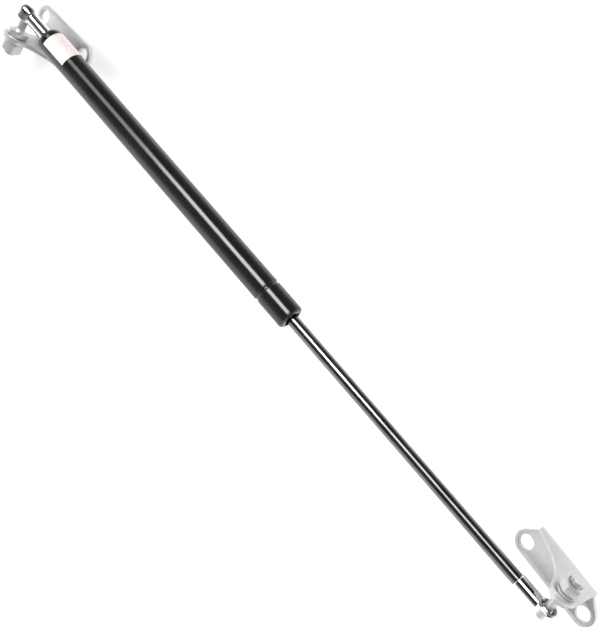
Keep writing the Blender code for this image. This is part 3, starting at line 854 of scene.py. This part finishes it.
def softbox(name, aim, at, size, power, unseen_by):
    """A soft rectangular light aimed at the strut, kept out of its diffuse or its glossy light."""
    light = bpy.data.lights.new(name, "AREA")
    light.shape = "RECTANGLE"
    light.size, light.size_y = size
    light.energy = power
    lamp = bpy.data.objects.new(name, light)
    lamp.visible_diffuse = unseen_by != "DIFFUSE"
    lamp.visible_glossy = unseen_by != "GLOSSY"
    bpy.context.scene.collection.objects.link(lamp)
    back = (Vector(at) - aim).normalized()
    level = Vector((1, 0, 0)) if unseen_by == "DIFFUSE" else Vector((0, 0, 1)).cross(back)
    rise = back.cross(level).normalized()
    matrix = Matrix((rise.cross(back), rise, back)).transposed().to_4x4()
    matrix.translation = at
    lamp.matrix_world = matrix


def camera(ball):
    """Looks down on the strut, with the cylinder's ball at the top left."""
    data = bpy.data.cameras.new("view")
    data.lens = LENS
    data.sensor_width = SENSOR
    viewer = bpy.data.objects.new("view", data)
    bpy.context.scene.collection.objects.link(viewer)
    right = CAMERA_RIGHT.normalized()
    up = CAMERA_BACK.normalized().cross(right).normalized()
    viewer.matrix_world = frame_of(ball + CAMERA_AT, right, up)
    bpy.context.scene.camera = viewer


# ---- Assembly ----


def finish_piece(piece, body, slot, replaced, materials):
    """Gives a new piece its body and its finish, and hides the node it stands for."""
    piece.data.materials.clear()
    piece.data.materials.append(materials[slot])
    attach(piece, body)
    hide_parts(replaced)


def main(frame):
    record = frame["record"]
    joints = {joint["name"]: joint for joint in frame["joints"]}
    start = Vector(joints["tube_ball_tilt"]["pos_m"])
    end = Vector(joints["rod_ball_tilt"]["pos_m"])
    materials = finishes(start)

    camera(start)
    studio((start + end) / 2)

    slots = {part["node"]: part["material_slot"] for part in record["subparts"]}
    for name, node in frame["nodes"].items():
        node.data.materials.clear()
        node.data.materials.append(materials[slots[name]])

    made = [
        (gas_cylinder(start), "cylinder", "cylinder_tube"),
        (wrapped_label(start), "cylinder", "label"),
        (sliding_rod(start, end), "rod", "piston_rod"),
    ]
    towards_rod = Vector((1, 0, 0))
    for name, body, inward in (("tube", "cylinder", towards_rod), ("rod", "rod", -towards_rod)):
        socket_at, stud_at, bracket_at = joint_frames(record, name, inward)
        swinging = name + "_bracket"
        made += [
            (ball_socket(name + "_end_socket", socket_at), body, name + "_socket"),
            (snap_ring(name + "_end_snap_ring", socket_at), body, name + "_snap_ring"),
            (stud_ball(name + "_end_ball", stud_at), name + "_ball", name + "_ball"),
            (ball_stud(name + "_end_stud", stud_at), swinging, name + "_ball_stud"),
            (stud_washer(name + "_end_washer", stud_at), swinging, name + "_stud_washer"),
            (stud_nut(name + "_end_nut", stud_at), swinging, name + "_stud_nut"),
            (angle_bracket(name + "_end_bracket", bracket_at), swinging, name + "_bracket"),
        ]
    for piece, body, node in made:
        finish_piece(piece, body, slots[node], node, materials)


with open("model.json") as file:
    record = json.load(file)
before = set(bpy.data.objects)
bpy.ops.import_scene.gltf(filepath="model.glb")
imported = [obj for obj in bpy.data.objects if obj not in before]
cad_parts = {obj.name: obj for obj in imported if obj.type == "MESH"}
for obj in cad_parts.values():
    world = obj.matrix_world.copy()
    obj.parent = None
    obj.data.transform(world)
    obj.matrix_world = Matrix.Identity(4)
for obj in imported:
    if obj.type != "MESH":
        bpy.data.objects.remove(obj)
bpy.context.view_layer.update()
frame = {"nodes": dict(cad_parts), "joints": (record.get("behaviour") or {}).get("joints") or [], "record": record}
main(frame)
bpy.context.scene.view_settings.view_transform = "Standard"
